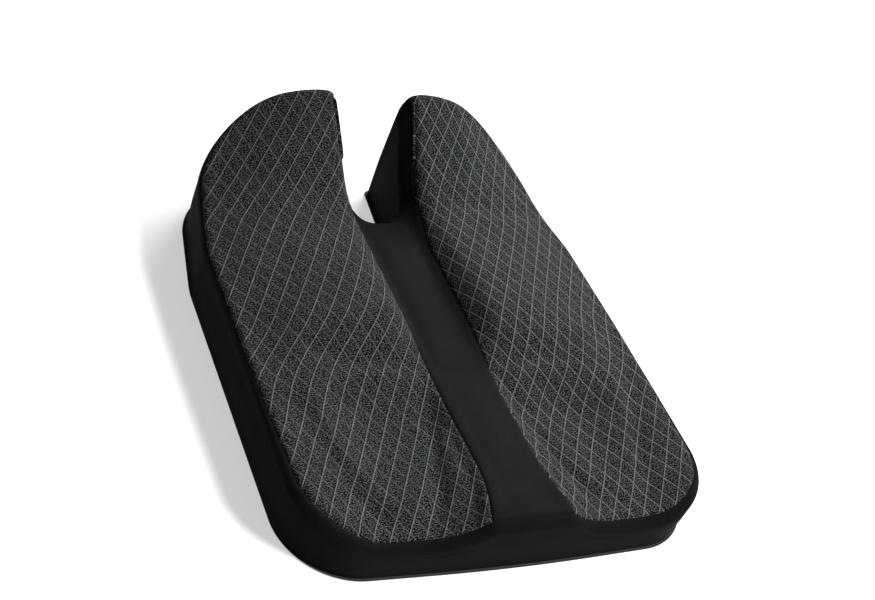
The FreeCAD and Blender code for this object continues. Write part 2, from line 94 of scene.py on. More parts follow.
# heights of the top along the cushion, from front to rear
STRIP_Y = [FRONT, (FRONT + NOTCH_Y) / 2, NOTCH_Y, REAR]
STRIP_Z = [57.8 * MM, 51.4 * MM, 51.7 * MM, 99.8 * MM]
CROWN_Y = [FRONT + k * DEPTH / 4 for k in range(5)]
CROWN_Z = [39.5 * MM, 36.1 * MM, 73.0 * MM, 69.1 * MM, 128.9 * MM]
EDGE_Y = [FRONT, 0.0, REAR / 2, REAR]
EDGE_Z = [54.3 * MM, 54.3 * MM, 54.5 * MM, 66.5 * MM]
CROWN_HALF_Y = [FRONT, 0.0, REAR]
CROWN_HALF = [121.3 * MM, 63.8 * MM, 48.8 * MM]
DOME = [0.0, 0.4]  # share of the dome in the fall from crown to edge, front and rear
STRIP_HALF_Y = [FRONT, FRONT + 60 * MM, NOTCH_Y]
STRIP_HALF = [39.4 * MM, 29.4 * MM, 30.2 * MM]
VALLEY_POWER = 3.9
SOFTEN = 7 * MM  # how far the top is averaged across
SOFTEN_PLACES = [-1.0, -0.5, 0.0, 0.5, 1.0]
SOFTEN_WEIGHTS = [1, 2, 3, 2, 1]

# shoulder between wall and top: how far it reaches in and how far it rises
SHOULDER_Y = [FRONT, 0.0, REAR]
SHOULDER_REACH = [30.3 * MM, 9.0 * MM, 9.0 * MM]
SHOULDER_RISE = [13.5 * MM, 11.7 * MM, 15.8 * MM]
NOTCH_REACH = 12.7 * MM
NOTCH_RISE = 6.9 * MM
SEAM_PLACE = 0.34  # of the reach, where the band is sewn to the top
NOTCH_SEAM_PLACE = 0.8  # the same inside the notch, whose band comes over the edge

# fabric
FABRIC = 1.3 * MM
SHARP_ANGLE = 50  # degrees between faces that don't shade as one
GROOVE_DEPTH = 1.1 * MM
GROOVE_WIDTH = 2.4 * MM
GROOVE_POWER = 1.5
MEET_WIDTH = 9 * MM  # next to a seam, where a panel bends up or down to meet it

# spacing of the meshes' points
STEP = 2.5 * MM
FINE_STEP = 1.0 * MM
NOTCH_STEP = 1.5 * MM
BASE_STEP = 4.0 * MM
SEAM_STEP = 0.4 * MM
SEAM_ROWS = [0.0, 0.5 * MM, 1.1 * MM, 1.9 * MM, 3.2 * MM]  # rows of points next to a seam
AT_ONCE = 4000  # points that are compared with the outline in one go


def smooth(x):
    """Rises from 0 to 1 with level ends."""
    x = np.clip(x, 0.0, 1.0)
    return x * x * (3 - 2 * x)


def monotone(xs, ys, x):
    """Cubic through the points (xs, ys) that never overshoots them."""
    xs, ys = np.array(xs), np.array(ys)
    x = np.clip(x, xs[0], xs[-1])
    steps = np.diff(xs)
    rises = np.diff(ys) / steps
    slopes = [rises[0]]
    for before, after, a, b in zip(rises, rises[1:], steps, steps[1:]):
        if before * after <= 0:
            slopes.append(0.0)
            continue
        w1, w2 = 2 * b + a, b + 2 * a
        slopes.append((w1 + w2) / (w1 / before + w2 / after))
    slopes = np.array(slopes + [rises[-1]])
    i = np.clip(np.searchsorted(xs, x, side="right") - 1, 0, len(steps) - 1)
    t = (x - xs[i]) / steps[i]
    return (
        (1 + 2 * t) * (1 - t) ** 2 * ys[i]
        + t * (1 - t) ** 2 * steps[i] * slopes[i]
        + t * t * (3 - 2 * t) * ys[i + 1]
        + t * t * (t - 1) * steps[i] * slopes[i + 1]
    )


def path_length(path):
    return np.linalg.norm(np.diff(path, axis=0), axis=1).sum()


def travelled(path):
    """Distance along a path from its start to each of its points."""
    return np.r_[0, np.cumsum(np.linalg.norm(np.diff(path, axis=0), axis=1))]


# ------------------------------------------------------------------ outline


class Outline:
    """Plan outline: straight lines joined by arcs, from the front's middle round to the right.

    A place on it is one number: its whole part counts arcs and lines in turn, and its
    fraction says how far along. An inset moves the outline into the cushion.
    """

    def __init__(self, front, right):
        corners = [front] + right + [(-x, y, radius) for x, y, radius in reversed(right)]
        self.corner = np.array([(x, y) for x, y, _ in corners])
        self.radius = np.array([radius for _, _, radius in corners])
        leave = np.roll(self.corner, -1, 0) - self.corner
        leave /= np.linalg.norm(leave, axis=1)[:, None]
        come = np.roll(leave, 1, 0)
        cross = come[:, 0] * leave[:, 1] - come[:, 1] * leave[:, 0]
        self.turn = np.arctan2(cross, (come * leave).sum(1))
        self.heading = np.arctan2(come[:, 1], come[:, 0])
        inwards = leave - come
        inwards /= np.linalg.norm(inwards, axis=1)[:, None]
        self.to_centre = inwards / np.cos(self.turn / 2)[:, None]
        self.count = len(corners)

    def arc_point(self, i, f, inset):
        convex = self.turn[i] > 0
        tight = np.maximum(self.radius[i] - inset, np.minimum(TIGHTEST, self.radius[i]))
        r = np.where(convex, tight, self.radius[i] + inset)
        away = np.where(convex, inset + r, r - inset)
        centre = self.corner[i] + self.to_centre[i] * away[:, None]
        angle = self.heading[i] + f * self.turn[i]
        out = np.stack([np.sin(angle), -np.cos(angle)], 1)
        return centre + out * np.where(convex, r, -r)[:, None], out

    def point(self, place, inset=0.0):
        """Points at places, and the directions out of the cushion there."""
        place = np.atleast_1d(np.asarray(place, float))
        inset = np.broadcast_to(np.asarray(inset, float), place.shape)
        piece = np.floor(place).astype(int)
        f = place - piece
        arc = (piece // 2) % self.count
        on_arc = piece % 2 == 0
        here, out = self.arc_point(arc, np.where(on_arc, f, 1.0), inset)
        after, _ = self.arc_point((arc + 1) % self.count, np.zeros_like(f), inset)
        blend = np.where(on_arc, 0.0, f)[:, None]
        return here * (1 - blend) + after * blend, out

    def places(self, start, end, step):
        """Places from start to end, about step apart, with the ends of every piece."""
        stops = [start] + [float(k) for k in range(math.floor(start) + 1, math.ceil(end))] + [end]
        found = [start]
        for a, b in zip(stops, stops[1:]):
            length = path_length(self.point(np.linspace(a, b, 30))[0])
            found.extend(np.linspace(a, b, max(1, round(length / step)) + 1)[1:])
        return np.array(found)

    def place_at_y(self, y):
        """Place on the straight right side at a given y."""
        ends, _ = self.point([SIDE_START, SIDE_END - 1e-9])
        return SIDE_START + (y - ends[0, 1]) / (ends[1, 1] - ends[0, 1])


OUTLINE = Outline(FRONT_CORNER, RIGHT_CORNERS)

# ------------------------------------------------------------------ top and shoulder


def strip_half(y):
    return monotone(STRIP_HALF_Y, STRIP_HALF, y)


def hard_top(x, y):
    """Height of the top, with a crease where the panels leave the centre strip."""
    across = np.abs(x)
    strip = monotone(STRIP_Y, STRIP_Z, y)
    crown = monotone(CROWN_Y, CROWN_Z, y)
    edge = monotone(EDGE_Y, EDGE_Z, y)
    along = np.clip((y - FRONT) / DEPTH, 0, 1)
    crown_half = monotone(CROWN_HALF_Y, CROWN_HALF, y)
    half = strip_half(y)
    climb = np.clip((across - half) / (crown_half - half), 0, 1)
    height = strip + (crown - strip) * (1 - (1 - climb) ** VALLEY_POWER)
    out = np.clip((across - crown_half) / (SIDE_HALF - crown_half), 0, 1)
    dome = DOME[0] + (DOME[1] - DOME[0]) * along
    fall = (1 - dome) * smooth(out) + dome * out ** 3
    return height + (edge - crown) * fall


def top(x, y):
    """Height of the top before its edges are rounded."""
    shifts = np.array(SOFTEN_PLACES) * SOFTEN
    weights = np.array(SOFTEN_WEIGHTS) / sum(SOFTEN_WEIGHTS)
    return sum(w * hard_top(x + shift, y) for w, shift in zip(weights, shifts))


def in_notch(place):
    """Rises from 0 outside the tailbone notch to 1 inside it."""
    return smooth((place - MOUTH_START) / (MOUTH_END - MOUTH_START))


def shoulder(place, y):
    """Reach and rise of the shoulder at places on the outline."""
    notch = in_notch(place)
    reach = monotone(SHOULDER_Y, SHOULDER_REACH, y)
    rise = monotone(SHOULDER_Y, SHOULDER_RISE, y)
    return reach + (NOTCH_REACH - reach) * notch, rise + (NOTCH_RISE - rise) * notch


def seam_place(place):
    """Share of the shoulder's reach at which the band is sewn to the top."""
    return SEAM_PLACE + (NOTCH_SEAM_PLACE - SEAM_PLACE) * in_notch(place)


def drop(inset, reach, rise):
    """How far the rounded surface lies under the top, at an inset from the outline."""
    left = np.clip(1 - inset / reach, 0, 1)
    return rise * (1 - np.sqrt(1 - left * left))


DENSE = OUTLINE.places(FRONT_MIDDLE, NOTCH_MIDDLE, FINE_STEP)
DENSE_XY, DENSE_OUT = OUTLINE.point(DENSE)
DENSE_REACH, DENSE_RISE = shoulder(DENSE, DENSE_XY[:, 1])


def nearest_edge(here):
    """Nearest of the outline's dense places to each plan point, and how far inside it is."""
    gaps = here[:, None, :] - DENSE_XY[None, :, :]
    nearest = (gaps ** 2).sum(2).argmin(1)
    gap = gaps[np.arange(len(here)), nearest]
    return nearest, -(gap * DENSE_OUT[nearest]).sum(1)


def surface_height(x, y):
    """Height of the rounded surface at any place in plan."""
    here = np.stack([np.abs(x).ravel(), y.ravel()], 1)
    height = top(here[:, 0], here[:, 1])
    for low in range(0, len(here), AT_ONCE):
        nearest, inset = nearest_edge(here[low:low + AT_ONCE])
        height[low:low + AT_ONCE] -= drop(inset, DENSE_REACH[nearest], DENSE_RISE[nearest])
    return height.reshape(x.shape)


def on_surface(plan):
    """Points of the rounded surface over plan points."""
    return np.concatenate([plan, surface_height(plan[..., 0], plan[..., 1])[..., None]], -1)


def shoulder_points(place, share):
    """Points on the shoulder, at a share of its reach in from the outline."""
    edge, _ = OUTLINE.point(place)
    reach, rise = shoulder(place, edge[:, 1])
    plan, out = OUTLINE.point(place, reach * share)
    z = top(plan[:, 0], plan[:, 1]) - drop(reach * share, reach, rise)
    return np.column_stack([plan, z]), out


def wall_top(place):
    edge, _ = OUTLINE.point(place)
    _, rise = shoulder(place, edge[:, 1])
    return top(edge[:, 0], edge[:, 1]) - rise


# ------------------------------------------------------------------ meshes


def mesh_object(name, points, faces, uvs=None):
    """Smooth mesh object; uvs are surface distances in metres, one per point."""
    mesh = bpy.data.meshes.new(name)
    mesh.from_pydata([tuple(p) for p in points], [], [tuple(f) for f in faces])
    mesh.update()
    mesh.polygons.foreach_set("use_smooth", np.ones(len(mesh.polygons), bool))
    if uvs is not None:
        layer = mesh.uv_layers.new(name="weave")
        corner = np.zeros(len(mesh.loops), int)
        mesh.loops.foreach_get("vertex_index", corner)
        layer.data.foreach_set("uv", np.asarray(uvs)[corner].astype(np.float32).ravel())
    made = bpy.data.objects.new(name, mesh)
    bpy.context.scene.collection.objects.link(made)
    return made


def grid_faces(rows, columns, keep=None):
    """Quads of a grid of points stored row by row."""
    r, c = np.meshgrid(np.arange(rows - 1), np.arange(columns - 1), indexing="ij")
    if keep is not None:
        r, c = r[keep], c[keep]
    a = r.ravel() * columns + c.ravel()
    return np.stack([a, a + 1, a + columns + 1, a + columns], 1)


def ring_faces(first, count, rings, turned=False):
    """Quads between closed rings of points that follow one another."""
    faces = []
    for start in range(first, first + (rings - 1) * count, count):
        for i in range(count):
            a, b = start + i, start + (i + 1) % count
            faces.append((b, a, a + count, b + count) if turned else (a, b, b + count, a + count))
    return faces


def capped_faces(first, count, rings, turned=False):
    """The same with a face over each end."""
    ends = [range(first, first + count), range(first + (rings - 1) * count, first + rings * count)]
    if turned:
        ends.reverse()
    caps = [tuple(reversed(ends[0])), tuple(ends[1])]
    return ring_faces(first, count, rings, turned) + caps


def surface_distances(points):
    """Distances along the rows and along the columns of a grid of points."""
    across = np.linalg.norm(np.diff(points, axis=1), axis=2)
    along = np.linalg.norm(np.diff(points, axis=0), axis=2)
    u = np.concatenate([np.zeros((points.shape[0], 1)), np.cumsum(across, 1)], 1)
    v = np.concatenate([np.zeros((1, points.shape[1])), np.cumsum(along, 0)], 0)
    return np.stack([u, v], 2)


def sheet(name, points, keep=None):
    """Mesh object of a grid of points, with its surface distances as its uvs."""
    faces = grid_faces(*points.shape[:2], keep=keep)
    return mesh_object(name, points.reshape(-1, 3), faces, surface_distances(points).reshape(-1, 2))


def vertex_array(made, kind="co"):
    """Places of an object's vertices, or their normals."""
    values = np.zeros(len(made.data.vertices) * 3)
    made.data.vertices.foreach_get(kind, values)
    return values.reshape(-1, 3)


def set_vertices(made, points):
    made.data.vertices.foreach_set("co", points.ravel())
    made.data.update()


def tree_of(points):
    tree = KDTree(len(points))
    for i, point in enumerate(points):
        tree.insert(point, i)
    tree.balance()
    return tree


def resample(path, shares):
    """Points at shares of a path's length."""
    way = travelled(path)
    wanted = np.asarray(shares) * way[-1]
    return np.stack([np.interp(wanted, way, axis) for axis in path.T], 1)


def seam_shares(length, first=True, last=True):
    """Shares of a length that crowd together at the ends that are sewn."""
    near = np.array(SEAM_ROWS) / length
    start = near if first else np.array([0.0])
    end = 1 - near[::-1] if last else np.array([1.0])
    inside = max(2, round((end[0] - start[-1]) * length / STEP)) + 1
    middle = np.linspace(start[-1], end[0], inside)
    return np.concatenate([start, middle[1:-1], end])


def dense(path):
    """A seam's path with its points close together."""
    return resample(path, np.linspace(0, 1, max(2, round(path_length(path) / SEAM_STEP)) + 1))


def sink_seams(made, seams):
    """Draws the fabric down into its seams."""
    tree = tree_of(seams)
    points, normals = vertex_array(made), vertex_array(made, "normal")
    near = np.array([tree.find(p)[2] for p in points])
    pull = np.clip(1 - near / GROOVE_WIDTH, 0, 1) ** GROOVE_POWER
    set_vertices(made, points - normals * (GROOVE_DEPTH * pull)[:, None])


def apply_modifiers(made):
    """Replaces the mesh by what its modifiers make of it."""
    graph = bpy.context.evaluated_depsgraph_get()
    result = bpy.data.meshes.new_from_object(made.evaluated_get(graph))
    made.modifiers.clear()
    old = made.data
    made.data = result
    bpy.data.meshes.remove(old)


def thicken(made, thickness=FABRIC):
    """Gives a sheet the thickness of its fabric, on its inner side."""
    solid = made.modifiers.new("thickness", "SOLIDIFY")
    solid.thickness = thickness
    solid.offset = -1.0
    solid.use_even_offset = False
    apply_modifiers(made)
    made.data.set_sharp_from_angle(angle=math.radians(SHARP_ANGLE))


# ------------------------------------------------------------------ pieces of the cover


def seam_ring(start, end, step=STEP):
    """Seam between the bands and the top, from place to place."""
    places = OUTLINE.places(start, end, step)
    points, _ = shoulder_points(places, seam_place(places))
    return points


def front_seam_place():
    """Place where the strip's edge meets the front seam."""
    places = np.linspace(FRONT_MIDDLE, CORNER_START, 400)
    points, _ = shoulder_points(places, seam_place(places))
    return float(np.interp(STRIP_HALF[0], points[:, 0], places))


STRIP_FRONT_PLACE = front_seam_place()
STRIP_TURN_FRONT, STRIP_TURN_REAR = 40 * MM, 60 * MM  # where the strip's edge bends to its ends


def strip_side():
    """Right edge of the centre strip in plan, from the front seam to the notch's shoulder."""
    start = shoulder_points(np.array([STRIP_FRONT_PLACE]), SEAM_PLACE)[0][0]
    end = shoulder_points(np.array([STRIP_SPLIT]), 1.0)[0][0]
    y = np.linspace(start[1], end[1], 200)
    x = strip_half(y)
    x += (start[0] - x[0]) * smooth((y[0] + STRIP_TURN_FRONT - y) / STRIP_TURN_FRONT)
    x += (end[0] - x[-1]) * smooth((y - y[-1] + STRIP_TURN_REAR) / STRIP_TURN_REAR)
    return np.stack([x, y], 1)


def coons(front, rear, inner, outer, across, along):
    """Plan grid between four curves: rows run from inner to outer, from front to rear."""
    s = across[None, :, None]
    t = along[:, None, None]
    sides = (1 - s) * inner[:, None, :] + s * outer[:, None, :]
    ends = (1 - t) * front[None, :, :] + t * rear[None, :, :]
    corners = (
        (1 - s) * (1 - t) * front[0] + s * (1 - t) * front[-1]
        + (1 - s) * t * rear[0] + s * t * rear[-1]
    )
    return sides + ends - corners


def mirrored(points):
    """The same points on the cushion's other side."""
    return points * np.array([-1.0] + [1.0] * (points.shape[-1] - 1))


DRAPE_MARGIN = 10 * MM  # of the grid of heights, past the cushion


def drape(points):
    """Surface distances of panel points from the middle of the cushion."""
    step = 2 * MM
    xs = np.arange(0, SIDE_HALF + DRAPE_MARGIN, step)
    ys = np.arange(FRONT - DRAPE_MARGIN, REAR + 2 * DRAPE_MARGIN, step)
    grid_x, grid_y = np.meshgrid(xs, ys, indexing="ij")
    z = top(grid_x, grid_y)
    across = np.cumsum(np.hypot(step, np.gradient(z, axis=0)), 0)
    along = np.cumsum(np.hypot(step, np.gradient(z, axis=1)), 1)
    i = np.clip(np.abs(points[:, 0]) / step, 0, len(xs) - 1.001)
    j = np.clip((points[:, 1] - ys[0]) / step, 0, len(ys) - 1.001)
    i0, j0 = i.astype(int), j.astype(int)
    fi, fj = i - i0, j - j0
    found = []
    for field in (across, along):
        low = field[i0, j0] * (1 - fi) + field[i0 + 1, j0] * fi
        high = field[i0, j0 + 1] * (1 - fi) + field[i0 + 1, j0 + 1] * fi
        found.append(low * (1 - fj) + high * fj)
    side = np.sign(points[:, 0])
    return np.stack([side * found[0], found[1]], 1)


def panel_plan():
    """Plan grid of the right panel and its closed seam line."""
    side = on_surface(strip_side())
    split_share = np.linspace(1.0, NOTCH_SEAM_PLACE, 5)[1:]
    over = np.vstack([shoulder_points(np.array([STRIP_SPLIT]), f)[0] for f in split_share])
    wall = seam_ring(MOUTH_MIDDLE, STRIP_SPLIT, FINE_STEP)[::-1]
    inner = np.vstack([side, over, wall[1:]])
    outer = seam_ring(CORNER_MIDDLE, LOBE_MIDDLE, FINE_STEP)
    front = seam_ring(STRIP_FRONT_PLACE, CORNER_MIDDLE, FINE_STEP)
    rear = seam_ring(LOBE_MIDDLE, MOUTH_MIDDLE, FINE_STEP)[::-1]
    along = seam_shares(path_length(inner))
    across = seam_shares(path_length(front))
    plan = coons(
        resample(front, across)[:, :2], resample(rear, across)[:, :2],
        resample(inner, along)[:, :2], resample(outer, along)[:, :2], across, along,
    )
    return plan, np.vstack([dense(curve) for curve in (inner, outer, front, rear)])


def meet_seam(points, border):
    """Moves points near a border up or down, so that they meet it."""
    gap = border[:, 2] - surface_height(border[:, 0], border[:, 1])
    flat = np.array([1.0, 1.0, 0.0])
    tree = tree_of(border * flat)
    found = [tree.find(point) for point in points * flat]
    share = 1 - smooth(np.array([distance for _, _, distance in found]) / MEET_WIDTH)
    points[:, 2] += gap[[k for _, k, _ in found]] * share


def make_panel(name, side):
    """Jacquard top panel of one side, side being 1 for the right and -1 for the left."""
    plan, border = panel_plan()
    flat = on_surface(plan).reshape(-1, 3)
    meet_seam(flat, border)
    faces = grid_faces(*plan.shape[:2])
    if side < 0:
        flat, border, faces = mirrored(flat), mirrored(border), faces[:, ::-1]
    return mesh_object(name, flat, faces, drape(flat)), border


# band: inset and height of each row of its hem, then the heights of its lower rows
HEM_ROWS = [(2.6 * MM, 0.9 * MM), (1.4 * MM, 1.0 * MM), (0.5 * MM, 1.7 * MM)]
LOW_ROWS = [z * MM for z in (3, 5, 7.5, 9.2, 10.5, 12, 13.8, 15.5, 17.2, 19, 20.5, 21.8, 24)]
HIGH_ROWS = 5
SHOULDER_ROWS = 9
NEAR_SEAM = (0.66, 0.33)  # shares of the last gap, for two more rows
BAND_BULGE, BAND_LEAN = 1.1 * MM, 3.2 * MM  # at mid height, and at the foot
NOTCH_BULGE, NOTCH_LEAN = 1.0 * MM, 4.0 * MM
STRAIGHT_MIDDLE, STRAIGHT_RAMP = 3.5, 1.5  # place of the upright side, and how fast it ends
SLOT_LOW, SLOT_HIGH = 10.5 * MM, 20.5 * MM  # heights of the zip's opening
SLOT_FRONT_TAIL, SLOT_REAR_TAIL = 4.6 * MM, 10.4 * MM  # of the tape, under the band
STRIP_SHOULDER_ROWS = 6


def band_profile(place):
    """Points up the band at one set of places: hem and wall, as a list of rows."""
    height = wall_top(place)
    straight = smooth(STRAIGHT_RAMP * (1 - np.abs(place - STRAIGHT_MIDDLE)))
    notch = in_notch(place)
    bulge = (BAND_BULGE + (NOTCH_BULGE - BAND_BULGE) * notch) * (1 - straight)
    lean = (BAND_LEAN + (NOTCH_LEAN - BAND_LEAN) * notch) * (1 - straight)

    def row(z, inset=0.0):
        share = z / height
        inset = inset + lean * (1 - share) - bulge * np.sin(math.pi * share)
        plan, _ = OUTLINE.point(place, inset)
        return np.column_stack([plan, z * np.ones(len(place))])

    rows = [row(z, inset) for inset, z in HEM_ROWS] + [row(z) for z in LOW_ROWS]
    start = LOW_ROWS[-1]
    climb = np.linspace(0, 1, HIGH_ROWS + 1)[1:]
    return rows + [row(start + (height - start) * share) for share in climb]


def shoulder_share(count, last):
    """Shares of the shoulder's reach that are even steps round its curve."""
    angle = np.linspace(0, np.arccos(1 - last), count + 1)[1:]
    return 1 - np.cos(angle)


def band_points(place):
    """Grid of points from the band's hem up to its seam with the top."""
    rows = band_profile(place)
    for share in shoulder_share(SHOULDER_ROWS, seam_place(place)):
        rows.append(shoulder_points(place, share)[0])
    last, before = rows[-1], rows[-2]
    near = [last + (before - last) * share for share in NEAR_SEAM]
    return np.stack(rows[:-1] + near + [last], 0)


def slot_places():
    """Places of the two ends of the zip's opening."""
    return (
        OUTLINE.place_at_y(TAPE_LOW[1] + SLOT_FRONT_TAIL),
        OUTLINE.place_at_y(TAPE_HIGH[1] - SLOT_REAR_TAIL),
    )


def make_outer_band(name, opening=True):
    """Band round the front, the sides and the rear of the lobes, with the zip's opening or not."""
    slot_start, slot_end = slot_places()
    cuts = [FRONT_MIDDLE, slot_start, slot_end, MOUTH_START, MOUTH_MIDDLE]
    steps = [STEP, STEP, STEP, FINE_STEP]
    places = [OUTLINE.places(a, b, step) for a, b, step in zip(cuts, cuts[1:], steps)]
    right = np.concatenate([places[0]] + [p[1:] for p in places[1:]])
    half = band_points(right)
    points = np.concatenate([mirrored(half)[:, :0:-1], half], 1)
    middle = len(right) - 1
    keep = np.ones((points.shape[0] - 1, points.shape[1] - 1), bool)
    place_of = np.r_[-right[:0:-1], right]
    z = points[:, middle, 2]
    in_slot = (place_of[:-1] >= slot_start - NEARLY) & (place_of[1:] <= slot_end + NEARLY)
    in_height = (z[:-1] >= SLOT_LOW - NEARLY) & (z[1:] <= SLOT_HIGH + NEARLY)
    if opening:
        keep[np.ix_(in_height, in_slot)] = False
    return sheet(name, points, keep), np.vstack([dense(points[-1]), dense(points[0])])


def make_cutout_band(name, side):
    """Band on the inner wall of one lobe, between the lobe's inner corner and the strip."""
    places = OUTLINE.places(MOUTH_MIDDLE, STRIP_SPLIT, NOTCH_STEP)
    points = band_points(places)
    if side < 0:
        points = mirrored(points)[:, ::-1]
    edges = (points[-1], points[0], points[:, 0], points[:, -1])
    return sheet(name, points), np.vstack([dense(edge) for edge in edges])


def make_centre_strip(name):
    """Strip down the middle, over the end of the notch and down its wall."""
    side = strip_side()
    centre_y = np.array([
        shoulder_points(np.array([FRONT_MIDDLE]), SEAM_PLACE)[0][0, 1],
        shoulder_points(np.array([NOTCH_MIDDLE]), 1.0)[0][0, 1],
    ])
    along = seam_shares(path_length(side), last=False)
    across = seam_shares(STRIP_HALF[1], first=False)
    inner = np.stack([np.zeros(len(along)), np.interp(along, [0, 1], centre_y)], 1)
    outer = resample(side, along)
    front = resample(seam_ring(FRONT_MIDDLE, STRIP_FRONT_PLACE, FINE_STEP)[:, :2], across)
    rear_places = share_places(NOTCH_MIDDLE, STRIP_SPLIT, across)
    rear = shoulder_points(rear_places, 1.0)[0][:, :2]
    plan = coons(front, rear, inner, outer, across, along)
    half = [on_surface(plan)]
    for share in shoulder_share(STRIP_SHOULDER_ROWS, 1.0)[::-1][1:]:
        half.append(shoulder_points(rear_places, share)[0][None])
    for row in band_profile(rear_places)[::-1]:
        half.append(row[None])
    half = np.concatenate(half, 0)
    points = np.concatenate([mirrored(half)[:, :0:-1], half], 1)
    edges = (points[0], points[-1], points[:, 0], points[:, -1])
    return sheet(name, points), np.vstack([dense(edge) for edge in edges])


def share_places(start, end, shares):
    """Places at shares of the outline's length between two places, in either direction."""
    between = OUTLINE.places(min(start, end), max(start, end), FINE_STEP / 2)
    way = travelled(OUTLINE.point(between)[0])
    wanted = shares if start < end else 1 - shares
    return np.interp(wanted * way[-1], way, between)


STITCH_PITCH = 2.6 * MM
STITCH_LENGTH = 1.8 * MM
STITCH_RADIUS = 0.3 * MM
STITCH_MARGIN = 1.7 * MM  # from the zip's opening
STITCH_RINGS = [(-0.5, 0.3), (-0.34, 0.9), (0.34, 0.9), (0.5, 0.3)]  # place along, girth
STITCH_SIDES = 6
STITCH_LIFT = 0.1 * MM


def slot_border(margin):
    """Closed path round the zip's opening, a margin outside it."""
    start, end = slot_places()
    low_y = OUTLINE.point(np.array([start]))[0][0, 1] - margin
    high_y = OUTLINE.point(np.array([end]))[0][0, 1] + margin
    places = OUTLINE.places(OUTLINE.place_at_y(low_y), OUTLINE.place_at_y(high_y), STEP)
    plan, _ = OUTLINE.point(places)
    level = np.ones(len(plan))
    low = np.column_stack([plan, (SLOT_LOW - margin) * level])
    high = np.column_stack([plan, (SLOT_HIGH + margin) * level])
    return np.vstack([low, high[::-1], low[:1]])


def make_stitches(name, band, path):
    """Lock stitches along a path on the band, each a short rounded thread."""
    count = int(path_length(path) / STITCH_PITCH)
    centres = resample(path, np.arange(count) / count)
    ahead = resample(path, (np.arange(count) + 0.2) / count)
    around = np.linspace(0, 2 * math.pi, STITCH_SIDES + 1)[:-1]
    points, faces = [], []
    for centre, after in zip(centres, ahead):
        _, place, normal, _ = band.closest_point_on_mesh(Vector(centre))
        along = Vector(after - centre)
        along = (along - normal * along.dot(normal)).normalized()
        across = normal.cross(along)
        first = len(points)
        for share, girth in STITCH_RINGS:
            middle = place + along * share * STITCH_LENGTH + normal * STITCH_LIFT
            for angle in around:
                spoke = across * math.cos(angle) + normal * math.sin(angle)
                points.append(middle + spoke * girth * STITCH_RADIUS)
        faces.extend(capped_faces(first, STITCH_SIDES, len(STITCH_RINGS)))
    return mesh_object(name, points, faces)


# ------------------------------------------------------------------ underside and foam

# inset and height of each ring of the bottom panel, from its edge inwards
BASE_ROWS = [(0.7 * MM, 1.4 * MM), (1.2 * MM, 0.95 * MM), (2.2 * MM, 0.7 * MM), (5 * MM, 0.6 * MM)]
BASE_FABRIC = 0.5 * MM
DOT_PITCH = 11 * MM
DOT_ROW_PITCH = DOT_PITCH * 0.866
DOT_RADIUS = 1.9 * MM
DOT_HEIGHT = 0.6 * MM
DOT_MARGIN = 12 * MM
DOT_SIDES = 12
DOTS_TO_SIDE = 20
DOT_RINGS = [(1.0, 0.0), (0.92, 0.35), (0.7, 0.8), (0.35, 0.97)]  # shares of radius and depth
DOT_TOP = DOT_HEIGHT + 0.1 * MM  # a little inside the bottom panel
DOT_DEPTH = DOT_HEIGHT + 0.05 * MM


def full_ring(inset):
    """Plan points all round the cushion, at an inset."""
    places = OUTLINE.places(FRONT_MIDDLE, NOTCH_MIDDLE, BASE_STEP)
    right, _ = OUTLINE.point(places, inset)
    return np.vstack([right, mirrored(right)[-2:0:-1]])


def make_base(name):
    """Bottom panel: a flat sheet whose edge turns up to the band."""
    count = len(full_ring(0.0))
    rings = [np.column_stack([full_ring(inset), np.full(count, z)]) for inset, z in BASE_ROWS]
    points = np.vstack(rings)
    faces = ring_faces(0, count, len(rings), turned=True)
    faces.append(tuple(reversed(range(len(points) - count, len(points)))))
    return mesh_object(name, points, faces, points[:, :2])


def make_dots(name):
    """Printed grip dots under the bottom panel, in staggered rows."""
    spots = []
    for row in range(int(DEPTH / DOT_ROW_PITCH) + 4):
        y = FRONT - DOT_PITCH + row * DOT_ROW_PITCH
        for column in range(-DOTS_TO_SIDE, DOTS_TO_SIDE + 1):
            spots.append(((column + 0.5 * (row % 2)) * DOT_PITCH, y))
    spots = np.array(spots)
    _, inset = nearest_edge(np.stack([np.abs(spots[:, 0]), spots[:, 1]], 1))
    spots = spots[inset > DOT_MARGIN]
    around = np.linspace(0, 2 * math.pi, DOT_SIDES + 1)[:-1]
    points, faces = [], []
    for x, y in spots:
        first = len(points)
        for share, depth in DOT_RINGS:
            for angle in around:
                points.append((
                    x + DOT_RADIUS * share * math.cos(angle),
                    y + DOT_RADIUS * share * math.sin(angle),
                    DOT_TOP - DOT_DEPTH * depth,
                ))
        faces.extend(capped_faces(first, DOT_SIDES, len(DOT_RINGS), turned=True))
    return mesh_object(name, points, faces)


FORM_VOXEL = 5 * MM
FOAM_INSET = 5.5 * MM

# the cloth's filling out: what is held, how hard it is pressed and how far it may move
PIN_WIDTH = 8 * MM
PIN_FLOOR = 2 * MM
PIN_LEVELS = 10
START_INSET = 1.5 * MM
PRESSURE = 4
STRETCH_STIFFNESS, SHEAR_STIFFNESS, BEND_STIFFNESS = 25, 12, 1.5
CLOTH_QUALITY = 5
SWELL_FRAMES = 20
SWELL_MOST = 5 * MM
FADE_WIDTH = 16 * MM  # next to a seam
NEIGHBOURS = 6  # points of the form that carry a point of the cover


